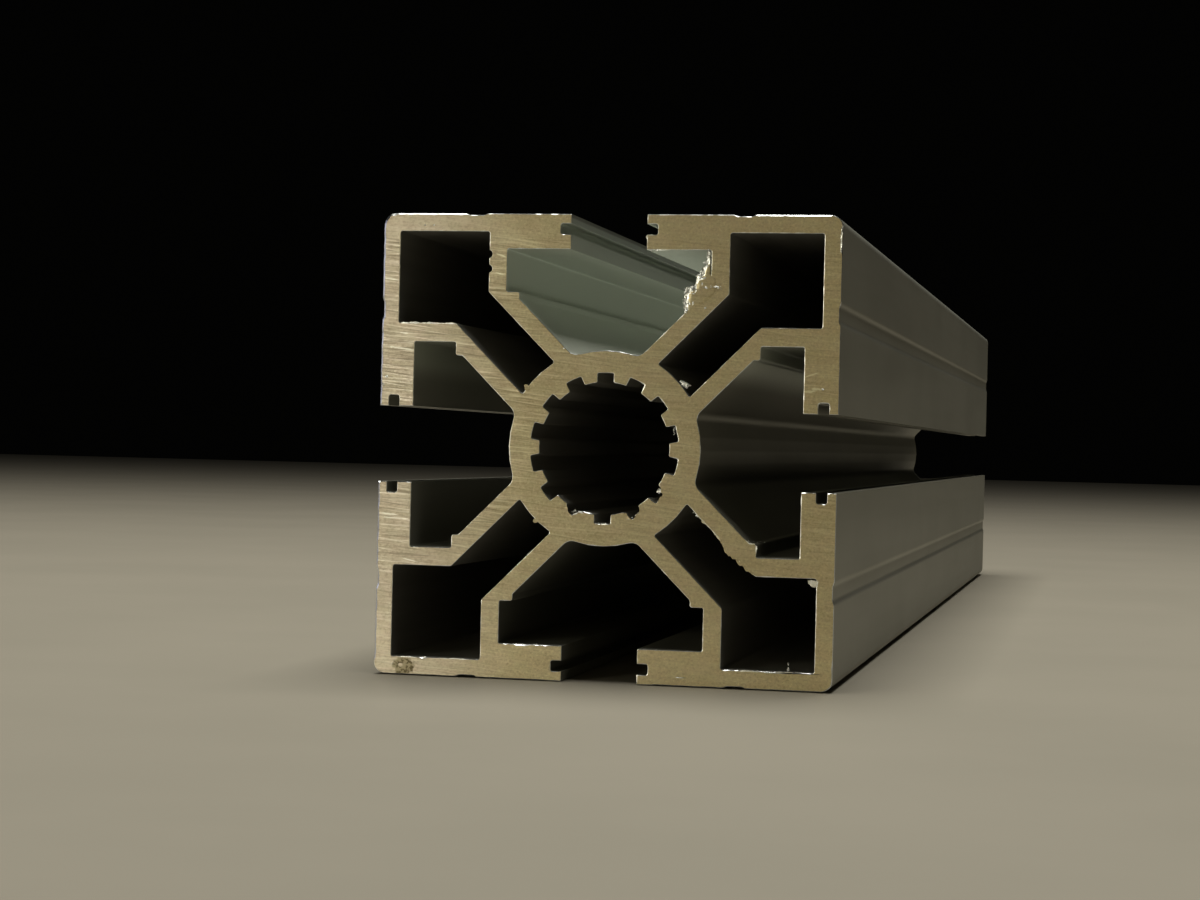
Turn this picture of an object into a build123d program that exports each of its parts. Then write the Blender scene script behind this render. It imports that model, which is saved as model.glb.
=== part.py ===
from build123d import *
from math import sqrt
import os

# Square aluminium extrusion profile, cut to length with a saw.
# The section lies in XZ, the length runs along Y, and Z = 0 is the face that it lies on.
# Every size is in millimetres. "Depth" is measured inwards from the outer face.

# Overall size
LENGTH = 330.0
SIDE = 60.0
OUTER_CORNER_RADIUS = 1.5

# T-slot in the middle of each side
SLOT_OPENING = 9.9
SLOT_INNER_WIDTH = 26.7
LIP_THICKNESS = 4.5
LEDGE_DEPTH = 10.05
LEDGE_WIDTH = 1.75
SLOT_CORNER_RADIUS = 0.25
LEDGE_CORNER_RADIUS = 0.35

# Groove along the end of each lip, for a cover strip
LIP_NOTCH_DEPTH = 1.4
LIP_NOTCH_WIDTH = 1.4
LIP_NOTCH_FROM_FACE = 1.2
LIP_NOTCH_RADIUS = 0.3

# Drilling line, a shallow groove with sloping sides on each side of every slot
LINE_GROOVE_WIDTH = 2.9
LINE_GROOVE_FLOOR_WIDTH = 1.8
LINE_GROOVE_DEPTH = 0.2
LINE_GROOVE_FROM_CENTRE = 17.55

# Hollow corner chamber, and the diagonal slot that opens into it
CHAMBER_OUTER_WALL = 2.3
CHAMBER_SLOT_WALL = 2.4
CHAMBER_CORNER_RADIUS = 0.3
CHAMBER_BEND_RADIUS = 0.6
DIAGONAL_SLOT_WIDTH = 5.87
DIAGONAL_SLOT_CORNER_RADIUS = 0.25
ARM_THICKNESS = 2.33

# Core ring with its toothed bore
CORE_DIAMETER = 25.1
CORE_DIAMETER_AT_DIAGONAL = 25.7
CORE_FILLET_RADIUS = 1.5
BORE_TIP_DIAMETER = 17.0
BORE_ROOT_DIAMETER = 19.4
BORE_NOTCH_COUNT = 14
BORE_NOTCH_WIDTH = 2.1
TOOTH_EDGE_RADIUS = 0.2

# Two round identification grooves in one chamber's inner wall
MARK_DIAMETER = 1.0
MARK_DEPTH = 0.4
MARK_DEPTHS_FROM_FACE = (5.2, 7.1)

HALF = SIDE / 2
# Distance from an arm's slot-side face to the diagonal, measured along X or Z
ARM_OFFSET = (DIAGONAL_SLOT_WIDTH / 2 + ARM_THICKNESS) * sqrt(2)
CHAMBER_INNER = SLOT_INNER_WIDTH / 2 + CHAMBER_SLOT_WALL
CHAMBER_OUTER = HALF - CHAMBER_OUTER_WALL
QUARTERS = range(4)


def slot_region():
    """The T-slot of the top side, down to the core ring."""
    lip_inside = HALF - LIP_THICKNESS
    ledge = HALF - LEDGE_DEPTH
    wide = SLOT_INNER_WIDTH / 2
    ledge_end = wide - LEDGE_WIDTH
    slant_top = ledge_end + ARM_OFFSET
    right_side = [
        (wide, lip_inside),
        (wide, ledge),
        (ledge_end, ledge),
        (ledge_end, slant_top),
        (0, ARM_OFFSET),
    ]
    left_side = [(-x, z) for x, z in right_side[-2::-1]]
    hollow = make_face(Polyline(*right_side, *left_side, close=True).edges())
    hollow -= Circle(CORE_DIAMETER / 2)
    hollow = round_corners(hollow, [(wide, lip_inside), (wide, ledge)], SLOT_CORNER_RADIUS)
    ledge_corners = [(ledge_end, ledge), (ledge_end, slant_top)]
    hollow = round_corners(hollow, ledge_corners, LEDGE_CORNER_RADIUS)
    core_joint = [arm_meets_circle(ARM_OFFSET, CORE_DIAMETER / 2)]
    hollow = round_corners(hollow, core_joint, CORE_FILLET_RADIUS)
    return hollow + mouth_region()


def mouth_region():
    """The slot's opening between the two lips, with the groove in each lip's end."""
    opening = Pos(0, HALF - LIP_THICKNESS) * Rectangle(
        SLOT_OPENING, LIP_THICKNESS, align=(Align.CENTER, Align.MIN)
    )
    notch_middle = HALF - LIP_NOTCH_FROM_FACE - LIP_NOTCH_WIDTH / 2
    notch_span = SLOT_OPENING + 2 * LIP_NOTCH_DEPTH
    notch = Pos(0, notch_middle) * RectangleRounded(
        notch_span, LIP_NOTCH_WIDTH, LIP_NOTCH_RADIUS
    )
    return opening + notch


def corner_region():
    """The chamber in the top right corner, with the diagonal slot that leads to it."""
    side = CHAMBER_OUTER - CHAMBER_INNER
    chamber = Pos(CHAMBER_INNER, CHAMBER_INNER) * Rectangle(
        side, side, align=(Align.MIN, Align.MIN)
    )
    diagonal_length = CHAMBER_OUTER * sqrt(2) - side / sqrt(2)
    diagonal = Rot(0, 0, 45) * Rectangle(
        diagonal_length, DIAGONAL_SLOT_WIDTH, align=(Align.MIN, Align.CENTER)
    )
    hollow = chamber + diagonal - Circle(CORE_DIAMETER_AT_DIAGONAL / 2)
    half_gap = DIAGONAL_SLOT_WIDTH / sqrt(2)
    square_corners = [
        (CHAMBER_OUTER, CHAMBER_OUTER),
        (CHAMBER_INNER, CHAMBER_OUTER),
        (CHAMBER_OUTER, CHAMBER_INNER),
    ]
    bends = [
        (CHAMBER_INNER, CHAMBER_INNER + half_gap),
        (CHAMBER_INNER + half_gap, CHAMBER_INNER),
    ]
    x, z = arm_meets_circle(half_gap, CORE_DIAMETER_AT_DIAGONAL / 2)
    hollow = round_corners(hollow, square_corners, CHAMBER_CORNER_RADIUS, mirrored=False)
    hollow = round_corners(hollow, bends, CHAMBER_BEND_RADIUS, mirrored=False)
    slot_ends = [(x, z), (z, x)]
    return round_corners(hollow, slot_ends, DIAGONAL_SLOT_CORNER_RADIUS, mirrored=False)


def arm_meets_circle(offset, radius):
    """Where the line z = x + offset crosses a circle about the centre, above the X axis."""
    x = (sqrt(2 * radius**2 - offset**2) - offset) / 2
    return x, x + offset


def round_corners(face, corners, radius, mirrored=True):
    """Fillet the corners of a face, and with mirrored also their twins across X = 0."""
    places = list(corners)
    if mirrored:
        places += [(-x, z) for x, z in corners]
    chosen = [face.vertices().sort_by_distance((x, z, 0))[0] for x, z in places]
    return fillet(chosen, radius)


def bore_region():
    """The round bore with parallel-sided notches in its wall, one of them at the top."""
    reach = BORE_ROOT_DIAMETER / 2
    notch = Rectangle(BORE_NOTCH_WIDTH, reach, align=(Align.CENTER, Align.MIN))
    notch = notch & Circle(reach)
    bore = Circle(BORE_TIP_DIAMETER / 2)
    for index in range(BORE_NOTCH_COUNT):
        bore += Rot(0, 0, 360 * index / BORE_NOTCH_COUNT) * notch
    return fillet(bore.vertices(), TOOTH_EDGE_RADIUS)


def line_groove_regions():
    """The two drilling lines in the top face, their slopes carried on above it."""
    floor = LINE_GROOVE_FLOOR_WIDTH / 2
    above = LINE_GROOVE_WIDTH - floor
    right_side = [(floor, -LINE_GROOVE_DEPTH), (above, LINE_GROOVE_DEPTH)]
    left_side = [(-x, z) for x, z in right_side[::-1]]
    groove = make_face(Polyline(*right_side, *left_side, close=True).edges())
    right = Pos(LINE_GROOVE_FROM_CENTRE, HALF) * groove
    left = Pos(-LINE_GROOVE_FROM_CENTRE, HALF) * groove
    return right + left


def mark_regions():
    """The identification grooves, in the wall between the top left chamber and its slot."""
    mark_x = -CHAMBER_INNER + MARK_DEPTH - MARK_DIAMETER / 2
    mark = Circle(MARK_DIAMETER / 2)
    return Sketch() + [Pos(mark_x, HALF - depth) * mark for depth in MARK_DEPTHS_FROM_FACE]


def profile_section():
    """The whole cross-section, centred on the origin of the sketch."""
    section = RectangleRounded(SIDE, SIDE, OUTER_CORNER_RADIUS)
    side_cut = slot_region() + line_groove_regions()
    corner_cut = corner_region()
    for quarter in QUARTERS:
        turn = Rot(0, 0, 90 * quarter)
        section -= turn * side_cut
        section -= turn * corner_cut
    section -= bore_region()
    section -= mark_regions()
    return section


def extrusion_profile():
    """The sawn length of stock, lying on one side."""
    section_plane = Plane((0, 0, HALF), x_dir=(1, 0, 0), z_dir=(0, -1, 0))
    stock = extrude(section_plane * profile_section(), amount=LENGTH / 2, both=True)
    stock.label = "extrusion_profile"
    return stock


os.makedirs("parts", exist_ok=True)
export_step(extrusion_profile(), "parts/extrusion_profile.step")
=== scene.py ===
import math
import random

import bmesh
import bpy
from mathutils import Matrix, Vector, geometry, kdtree, noise


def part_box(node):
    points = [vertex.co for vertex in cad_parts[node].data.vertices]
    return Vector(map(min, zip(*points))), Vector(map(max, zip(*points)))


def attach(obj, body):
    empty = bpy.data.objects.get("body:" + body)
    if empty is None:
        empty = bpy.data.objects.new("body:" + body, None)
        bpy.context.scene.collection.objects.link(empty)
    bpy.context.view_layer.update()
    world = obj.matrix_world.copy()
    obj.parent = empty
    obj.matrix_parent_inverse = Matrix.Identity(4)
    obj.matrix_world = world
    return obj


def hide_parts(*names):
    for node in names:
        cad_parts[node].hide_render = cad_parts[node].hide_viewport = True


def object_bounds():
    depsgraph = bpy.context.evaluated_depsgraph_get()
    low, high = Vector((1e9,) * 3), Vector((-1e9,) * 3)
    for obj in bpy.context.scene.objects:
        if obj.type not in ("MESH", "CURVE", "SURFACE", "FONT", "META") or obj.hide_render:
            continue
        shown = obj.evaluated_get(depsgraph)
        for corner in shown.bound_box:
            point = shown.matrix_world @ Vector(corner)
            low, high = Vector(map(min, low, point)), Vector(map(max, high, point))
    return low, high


# The looks of a sawn length of square aluminium extrusion.
# The mesh code works in millimetres, and a section point is (x, z) from the section's centre.
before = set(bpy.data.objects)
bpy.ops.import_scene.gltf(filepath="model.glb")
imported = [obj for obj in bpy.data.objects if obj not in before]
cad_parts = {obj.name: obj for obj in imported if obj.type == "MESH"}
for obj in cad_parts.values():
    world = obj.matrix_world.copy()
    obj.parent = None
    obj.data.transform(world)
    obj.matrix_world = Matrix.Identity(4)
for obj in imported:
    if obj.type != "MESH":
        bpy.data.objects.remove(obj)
CAD_LOW, CAD_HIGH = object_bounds()

MM = 0.001
NODE = "extrusion_profile"
BODY = "root"

# The middle of the front end in metres, and its place along Y and its height in mm
FRONT_END = (0.0, CAD_LOW.y, (CAD_LOW.z + CAD_HIGH.z) / 2)
FRONT_Y = FRONT_END[1] / MM
MIDDLE_Z = FRONT_END[2] / MM

# The two sawn ends, and the sign of Y that leads into the stock from each
FRONT, BACK = range(2)
INWARDS = (1, -1)

# Order of the finishes in the mesh's material slots
SKIN, MILL, SAWN, TORN = range(4)

# Finishes of the strips between an end's rim rings, from the sawn face inwards
RIM_FINISHES = (SAWN, TORN, TORN)

# Reading the section: how far a vertex of the end may lie from its plane, m, and the
# decimals in which two equal places agree
END_TOLERANCE = MM / 100
PLACE_DECIMALS = 7

# Sampling of the section, mm
SECTION_TOLERANCE = 0.005
LONGEST_EDGE = 0.28
FACE_POINT_SPACING = 0.6
FACE_POINT_MARGIN = 0.3
MERGE_DISTANCE = 1e-6
# How far a point on a sawn face strays from its cell's middle, as a share of the cell
FACE_POINT_STRAY = 0.35
# Equal parts into which the length between the rims is divided
BODY_PARTS = 5
# The triangulation's mode that keeps the inside and leaves the holes open
INSIDE_WITH_HOLES = 2

# Relief of the sawn faces: its height and the size of its waves, mm
FACE_RELIEF = 0.012
FACE_RELIEF_SIZE = 2.2

# The edge that the saw left along every outline: the depths of its rings behind the end
# plane, its width outside and in the openings, and its fine burr, mm
RIM_ROOT_DEPTH = 1.6
RIM_NECK_DEPTH = 0.6
RIM_FACE_DEPTH = 0.08
RIM_COLLAR = 0.04
OUTER_CHAMFER = 0.08
INNER_ROUNDING = 0.08
BURR_HEIGHT = 0.05
COARSE_BURR_SIZE = 1.1
FINE_BURR_SIZE = 0.34
OUTSIDE_TOLERANCE = 0.3
# A burr this high reaches the end plane, mm
FULL_BURR = 0.25
# How much the coarse and the fine grain change the edge's width, outside and in the openings
OUTER_UNEVEN = (0.4, 0.3)
INNER_UNEVEN = (0.6, 0.5)
# Shares of a burr's height: the fine grain's, a heavy burr's without it, and what is left
# at the neck ring
BURR_FINE_SHARE = 0.7
HEAVY_BURR_SHARE = 0.5
NECK_SHARE = 0.15

# Stretches of an edge, the same at both ends, that are worn to a straight chamfer: from and
# to x, from and to z in mm, and how much wider the edge is there
EDGE_WEAR = (
    (-28.4, -18.9, 29.7, 30.1, 1.8),
    (19.0, 22.65, 29.7, 30.1, 1.3),
    (22.95, 28.5, 29.7, 30.1, 1.5),
    (29.7, 30.1, 25.4, 28.7, 2.3),
    (-30.1, -28.4, 28.2, 30.1, 3.8),
    (-30.1, -29.7, -28.0, 28.2, 3.1),
    (-29.0, -7.0, -30.1, -29.7, 1.5),
    (7.0, 28.6, -30.1, -29.7, 1.6),
    (28.4, 30.1, -30.1, -26.0, 1.6),
    (-10.98, -9.2, -25.8, -25.2, 2.4),
    (-12.54, -12.05, -25.8, -25.2, 1.6),
    (-8.4, -7.8, -25.8, -25.2, 1.5),
    (-7.37, -6.67, -25.8, -25.2, 1.5),
    (-23.6, -22.8, -28.0, -27.4, 2.2),
    (16.2, 27.4, -28.0, -27.4, 1.2),
    (-4.6, -1.3, -8.8, -7.9, 1.3),
    (3.8, 4.9, -9.1, -8.0, 1.2),
    (25.4, 26.2, -5.1, -4.8, 1.2),
    (28.6, 29.2, -5.1, -4.8, 1.2),
)
# How far an edge's middle ring keeps from the sharp corner, as a share of the edge's width:
# half would be a straight line, and less is rounder
STRAIGHT_EDGE = 0.45
UPPER_EDGE = 0.355
UPPER_EDGE_UNEVEN = 0.09
ROUND_EDGE = 0.3
# An edge whose air side points up by more than this is an upper edge
FACING_UP = 0.5

# Edges that bend more than this are shaded sharp
SMOOTH_ANGLE = math.radians(28)

# Heavier burrs of the front end: the middle, how far each reaches, and how high it is, mm
BURR_SPOTS = (
    ((-26.0, 15.75), 1.6, 0.20),
    ((-23.5, 15.75), 1.8, 0.22),
    ((-21.0, 15.75), 1.4, 0.16),
    ((-25.5, -27.7), 1.2, 0.12),
    ((-19.5, -27.7), 2.0, 0.10),
    ((24.3, -27.7), 2.0, 0.18),
    ((19.0, -27.7), 2.4, 0.12),
    ((19.7, -11.6), 1.6, 0.20),
    ((7.2, 25.5), 0.9, 0.22),
    ((5.0, 27.4), 0.7, 0.20),
    ((13.0, -8.5), 1.6, 0.22),
    ((15.5, -11.2), 1.8, 0.26),
    ((18.0, -14.0), 1.6, 0.24),
    ((-3.4, -8.4), 1.2, 0.22),
    ((7.2, -5.0), 0.9, 0.25),
    ((9.0, 2.2), 0.7, 0.22),
)

# Thin metal that the saw smeared over the bore's notches and along the diagonal slots,
# and a tab in a chamber's corner
SMEARS = (
    ((-4.75, -7.4), (-4.5, -8.3), (-4.05, -8.6), (-3.45, -8.45), (-2.8, -8.15), (-2.3, -8.3),
     (-2.9, -9.5), (-5.5, -8.5), (-5.1, -7.6)),
    ((4.05, -8.85), (4.35, -8.4), (4.75, -7.85), (4.85, -6.95), (5.4, -7.3), (5.6, -8.3),
     (4.0, -9.3)),
    ((2.5, -8.2), (2.95, -8.15), (3.25, -8.5), (3.75, -8.95), (3.6, -9.4), (2.7, -9.0)),
    ((7.3, -4.2), (7.45, -4.9), (7.72, -5.6), (7.4, -6.2), (7.3, -6.9), (8.6, -5.4),
     (8.2, -4.5)),
    ((15.3, -11.15), (15.52, -11.73), (15.72, -12.13), (16.0, -12.84), (16.4, -13.35),
     (16.83, -13.32), (17.32, -13.73), (17.87, -14.37), (18.39, -14.66), (18.87, -15.08),
     (19.32, -15.33), (19.7, -15.55), (19.9, -15.2), (15.6, -10.9)),
    ((-8.6, -9.2), (-8.95, -9.35), (-9.1, -9.6), (-8.9, -9.8), (-8.5, -9.75), (-8.3, -9.4)),
    ((-9.9, 7.6), (-10.3, 8.0), (-10.6, 8.0), (-10.7, 7.7), (-10.5, 7.4), (-10.1, 7.3)),
)
TABS = (
    ((27.95, -15.98), (26.6, -16.0), (26.55, -16.4), (27.0, -16.45), (27.05, -16.75),
     (27.95, -16.8)),
)

# Metal that the saw smeared over the top slot's right wall and ledge: a leaf whose left
# edge is torn, and that stays a little apart from the wall at its upper right
FLAP_OUTLINE = (
    (13.16, 25.45), (12.95, 25.4), (12.6, 24.0), (12.0, 22.6), (11.5, 22.2), (11.0, 20.9),
    (10.2, 20.5), (9.95, 19.4), (9.95, 18.3), (10.1, 17.4), (11.7, 18.2), (13.4, 19.3),
    (14.3, 20.6), (14.0, 22.0), (13.16, 22.5),
)
# The torn edge runs from the outline's second corner to its tenth
FLAP_TORN_EDGE = FLAP_OUTLINE[1:10]
FLAP_EDGE_STEP = 0.18
FLAP_POINT_SPACING = 0.26
FLAP_THICKNESS = 0.26
FLAP_RISE = 0.03
# How far the torn edge and the other edges stray, and the size of their waves, mm
FLAP_TORN_STRAY = 0.4
FLAP_EDGE_STRAY = 0.1
FLAP_STRAY_SIZE = 0.5
# Where in its cell a point inside the flap may lie
FLAP_CELL = (0.2, 0.8)
# The crumple behind the tear: its depth, its reach and the size of its waves, mm, how even
# it is, and the share of its reach that shows torn metal
FLAP_CRUMPLE = 0.20
FLAP_CRUMPLE_REACH = 0.75
FLAP_CRUMPLE_SIZE = 0.6
FLAP_CRUMPLE_EVEN = 0.6
FLAP_TORN_SHARE = 0.7

# How far the smears' and the tab's edges stray, and the waves' size in them and the faces, mm
SMEAR_STRAY = 0.25
SMEAR_STRAY_SIZE = 0.4
SMEAR_FACE_SIZE = 0.5

# Metal behind the gap between the flap and the wall
GAP_OUTLINE = ((13.05, 22.2), (13.5, 22.2), (13.5, 25.6), (13.05, 25.6))
GAP_DEPTH = 0.8

# Lumps along the torn edge and elsewhere on the front end: middle, long and short radius in
# mm, and how many degrees the long one rises to the right
LUMPS = (
    ((12.95, 25.1), 0.36, 0.17, 80),
    ((12.62, 23.95), 0.28, 0.14, 10),
    ((12.2, 22.5), 0.34, 0.20, 70),
    ((11.68, 22.35), 0.16, 0.13, 20),
    ((12.0, 21.85), 0.38, 0.16, 8),
    ((12.55, 22.0), 0.17, 0.10, 20),
    ((12.2, 21.25), 0.18, 0.12, 45),
    ((11.35, 21.0), 0.24, 0.14, 40),
    ((10.9, 20.75), 0.24, 0.12, 60),
    ((10.3, 20.45), 0.40, 0.13, 55),
    ((11.4, 20.3), 0.26, 0.09, 75),
    ((11.1, 19.95), 0.20, 0.09, 0),
    ((10.05, 19.1), 0.42, 0.12, 75),
    ((10.55, 18.7), 0.21, 0.18, 0),
    ((11.1, 18.75), 0.22, 0.10, 80),
    ((10.2, 17.85), 0.24, 0.18, 0),
    ((12.8, 20.7), 0.20, 0.12, 0),
    ((14.1, 20.85), 0.22, 0.10, 0),
    ((12.7, 18.15), 0.16, 0.12, 30),
    ((10.4, 8.4), 0.52, 0.32, -20),
    ((9.85, 8.75), 0.20, 0.14, -30),
    ((7.32, -5.25), 0.34, 0.30, 60),
    ((5.55, 25.45), 0.14, 0.12, 0),
    ((6.2, 25.45), 0.20, 0.13, 0),
    ((-5.6, 12.75), 0.17, 0.12, 0),
    ((24.4, -27.3), 0.24, 0.13, 80),
    ((-23.1, -27.78), 0.22, 0.15, 0),
    ((21.8, -27.78), 5.5, 0.06, 0),
    ((24.4, -26.6), 0.16, 0.08, 90),
    ((29.83, 27.1), 1.5, 0.09, 90),
    ((27.9, 8.1), 0.14, 0.10, 0),
    ((-29.2, 8.7), 0.20, 0.14, 20),
    ((-29.68, 7.7), 0.19, 0.17, 0),
    ((-24.46, 28.47), 0.10, 0.08, 0),
    ((-23.25, 28.48), 0.09, 0.07, 0),
    ((10.5, -28.9), 0.75, 0.05, 0),
    ((-2.8, -8.25), 0.35, 0.10, -20),
    ((-3.6, -8.5), 0.45, 0.12, 20),
    ((0.3, -9.7), 0.75, 0.06, 0),
)
# A lump's depth as a share of its short radius, how far behind the end its middle lies as a
# share of that depth, and how many degrees its front is tilted to the left
LUMP_DEPTH = 0.55
LUMP_SINK = 1.1
LUMP_TILT = 8
LUMP_ROUGHNESS = 1.0
LUMP_SUBDIVISIONS = 3
# Waves of unevenness across a lump's radius, and the step between the lumps' seeds
LUMP_WAVES = 1.6
LUMP_SEED_STEP = 3.7

# Small crumbs: a path in the section, how far they stray from it and their size in mm, and
# their number
CRUMB_PATHS = (
    (FLAP_TORN_EDGE, 0.14, 0.18, 44),
    (((-12.9, -25.46), (-6.8, -25.46)), 0.03, 0.16, 9),
    (((-27.3, -27.66), (-16.2, -27.66)), 0.03, 0.12, 12),
    (((-4.3, -8.5), (-3.6, -8.1), (-2.0, -8.1)), 0.05, 0.22, 8),
    (((-0.9, -9.6), (0.9, -9.6)), 0.04, 0.13, 6),
    (((3.2, -9.1), (4.7, -8.2)), 0.05, 0.14, 8),
    (((18.4, -11.3), (21.2, -11.3)), 0.06, 0.14, 7),
    (((11.3, -7.3), (14.4, -10.4)), 0.05, 0.15, 7),
    (((-27.2, 15.74), (-19.5, 15.74)), 0.03, 0.13, 16),
    (((9.1, 2.9), (9.1, 1.8)), 0.06, 0.20, 6),
    (((16.2, -27.62), (27.2, -27.62)), 0.04, 0.12, 10),
    (((12.3, 20.75), (13.5, 20.85), (14.8, 20.8)), 0.08, 0.19, 16),
)
CRUMB_FLATNESS = 0.6
CRUMB_ROUGHNESS = 0.9
CRUMB_SUBDIVISIONS = 2
CRUMB_PATH_STEP = 0.05
# Ranges that a crumb is drawn from: the share of its size, how far behind the end its middle
# lies as a share of its depth, its two radii as shares of half its size, its turns in
# degrees, and its surface's seed
CRUMB_SIZES = (0.4, 1.0)
CRUMB_SINKS = (0.8, 1.6)
CRUMB_LONG_RADII = (0.9, 1.6)
CRUMB_SHORT_RADII = (0.6, 1.0)
CRUMB_LEANS = (0, 180)
CRUMB_TILTS = (-4, 20)
CRUMB_SURFACES = (0, 100)

# Seeds of the random values: the first four go up by one at the back end
COARSE_BURR_SEED = 0
FINE_BURR_SEED = 10
FACE_RELIEF_SEED = 20
FACE_POINT_SEED = 0
FLAP_EDGE_SEEDS = (31, 32)
FLAP_CRUMPLE_SEED = 33
FLAP_POINT_SEED = 5
SMEAR_EDGE_SEEDS = (41, 42)
SMEAR_FACE_SEED = 43
CRUMB_SEED = 11

# Bright and dark saw lines: how many degrees they fall to the right, and the noise's shift
BRIGHT_LINES = ((3.0, 0.0), (8.0, 5.0))
DARK_LINES = ((2.0, 13.0), (8.0, 21.0))
# How many degrees the fine and the broad streaks fall to the right
FINE_SLANT = 6
BROAD_SLANT = 8
# The lines are plainest at the upper left, a painted highlight where the side light catches them.
# They fade to the right, downwards, and in the strip along the top: from and to which place, mm, and
# the share that is left there
LINE_HIGHLIGHT_ACROSS = (-22.0, 4.0)
LINE_HIGHLIGHT_DOWN = (28.0, 3.0)
LINE_FADE_UP = (56.0, 58.5)
LINE_SHARE_RIGHT = 0.42
LINE_SHARE_LOW = 0.42
LINE_SHARE_TOP = 0.2

# Scratches on the front end, their bright tone partly a painted glint: middle (x, z), half length and
# half width in mm, and how many degrees they fall to the right
SCRATCHES = (
    ((-27.2, 12.42), 1.95, 0.15, 6.8),
    ((-26.9, 14.4), 0.65, 0.12, 5.0),
    ((-28.3, -9.2), 1.35, 0.13, 5.5),
    ((-27.6, -9.7), 2.05, 0.11, 2.5),
    ((-25.5, -15.1), 1.0, 0.09, 12.0),
    ((-14.1, 24.6), 0.95, 0.12, 20.0),
    ((-14.3, 22.25), 0.75, 0.11, 18.0),
    ((-28.8, 21.4), 1.1, 0.09, 6.0),
    ((27.15, 8.1), 0.75, 0.18, 1.0),
    ((26.25, 7.8), 0.8, 0.18, -1.0),
    ((26.5, 9.9), 0.95, 0.11, -20.0),
)
# How far a mark reaches in Y, so that it lies on one end only, mm
MARK_REACH = 4.0

# From and to which place the sawn metal has painted shade, darker and warmer from left to right where
# the side light's highlight falls off, and painted light, lighter towards the floor that lights it,
# mm
PAINTED_SHADE_ACROSS = (-26.0, -9.0)
PAINTED_FLOOR_LIGHT_DOWN = (11.0, 3.0)

# Dirt spot on the front end and the clean place inside it: middle, and half sizes along
# X and Z, mm
DIRT_MIDDLE = (-25.95, -28.9)
DIRT_RADII = (1.45, 1.15)
CLEAN_MIDDLE = (-26.4, -28.8)
CLEAN_RADII = (0.32, 0.24)
# How much noise is added to the distance from the dirt spot and from a scratch, and from
# and to which distance each mark fades
MARK_RAGGED = 1.2
DIRT_END = (1.45, 1.75)
CLEAN_END = (0.6, 1.3)
SCRATCH_END = (1.75, 1.2)

# Inside the slots the skin has painted shade, darker to the right, and painted light, paler high up
# where the overhead lamp falls into the top slot. Outside is what lies beyond the last of these
# distances from the middle, mm
SKIN_PAINTED_SHADE_ACROSS = (4.0, 8.0)
SKIN_PAINTED_LIGHT_UP = (38.0, 41.0)
SKIN_OUTSIDE = (29.4, 29.7)

# Sockets of the colour mix node
MIX_SHARE, MIX_UNDER, MIX_OVER = 0, 6, 7
MIX_RESULT = 2

# Values of a noise from which to which a tone changes
WIDE_SPAN = (0.3, 0.7)
MIDDLE_SPAN = (0.35, 0.65)
CLOUD_SPAN = (0.35, 0.75)
SCUFF_SPAN = (0.66, 0.74)
SAW_LINE_SPAN = (0.55, 0.68)
MOTTLE_SPAN = (0.46, 0.68)
LIGHT_SPECK_SPAN = (0.54, 0.72)
DARK_SPECK_SPAN = (0.46, 0.28)
FLECK_SPAN = (0.40, 0.60)
TORN_SPAN = (0.35, 0.6)

# The most that each layer of a tone covers of what lies under it
CLOUD_SHARE = 0.10
SCUFF_SHARE = 0.35
STREAK_SHARE = 0.33
MOTTLE_SHARE = 0.36
LIGHT_SPECK_SHARE = 0.4
DARK_SPECK_SHARE = 0.3
DARK_LINE_SHARE = 0.7
BRIGHT_LINE_SHARE = 0.72
SCRATCH_SHARE = 0.95
HUE_SHARE = 0.6

# Colours of the anodised skin, the last but one as a factor: the last two are painted shade in the
# slots to the right and painted light high in the top slot
SKIN_DARK = (0.32, 0.32, 0.28)
SKIN_LIGHT = (0.35, 0.35, 0.31)
SKIN_CLOUD = (0.27, 0.27, 0.24)
SKIN_SCUFF = (0.46, 0.46, 0.42)
SKIN_PAINTED_SHADE_FACTOR = (0.70, 0.69, 0.66)
SKIN_PAINTED_LIGHT = (0.63, 0.66, 0.60)

# Colours of the closed hollows' wall
MILL_DARK = (0.58, 0.57, 0.53)
MILL_LIGHT = (0.66, 0.65, 0.61)

# Colours of the sawn metal, the last three as factors: the last two are painted shade to the right
# and painted light near the floor
SAWN_DARK = (0.72, 0.66, 0.54)
SAWN_LIGHT = (0.76, 0.70, 0.59)
STREAK_COLOUR = (0.50, 0.45, 0.36)
MOTTLE_COLOUR = (0.44, 0.38, 0.28)
LIGHT_SPECK_COLOUR = (1.0, 0.95, 0.80)
DARK_SPECK_COLOUR = (0.40, 0.33, 0.20)
DARK_LINE_COLOUR = (0.40, 0.35, 0.27)
BRIGHT_LINE_COLOUR = (1.0, 0.96, 0.88)
# A scratch's near-white tone, partly a painted glint
SCRATCH_GLINT_COLOUR = (1.0, 1.0, 0.92)
DIRT_DARK = (0.15, 0.13, 0.075)
DIRT_LIGHT = (0.44, 0.40, 0.28)
HUE_FACTOR = (1.0, 0.94, 0.97)
PAINTED_SHADE_FACTOR = (0.89, 0.87, 0.70)
PAINTED_FLOOR_LIGHT_FACTOR = (1.18, 1.18, 1.17)

# Colours of the torn metal and of the floor
TORN_DARK = (0.78, 0.81, 0.86)
TORN_LIGHT = (0.93, 0.97, 1.0)
FLOOR_DARK = (0.32, 0.293, 0.24)
FLOOR_LIGHT = (0.34, 0.31, 0.255)

# Roughness of the skin, what a scuff adds to it, and roughness of the other metals
SKIN_ROUGHNESS = (0.46, 0.52)
SCUFF_ROUGHNESS = 0.15
MILL_ROUGHNESS = 0.45
SAWN_ROUGHNESS = (0.34, 0.48)
TORN_ROUGHNESS = 0.30
# How metallic the skin is, how strongly the sawn metal's gloss is drawn out, and how far the
# surface leans along X on a saw line
SKIN_METALLIC = 0.6
SAWN_ANISOTROPY = 0.7
LINE_LEAN = 0.018
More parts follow.
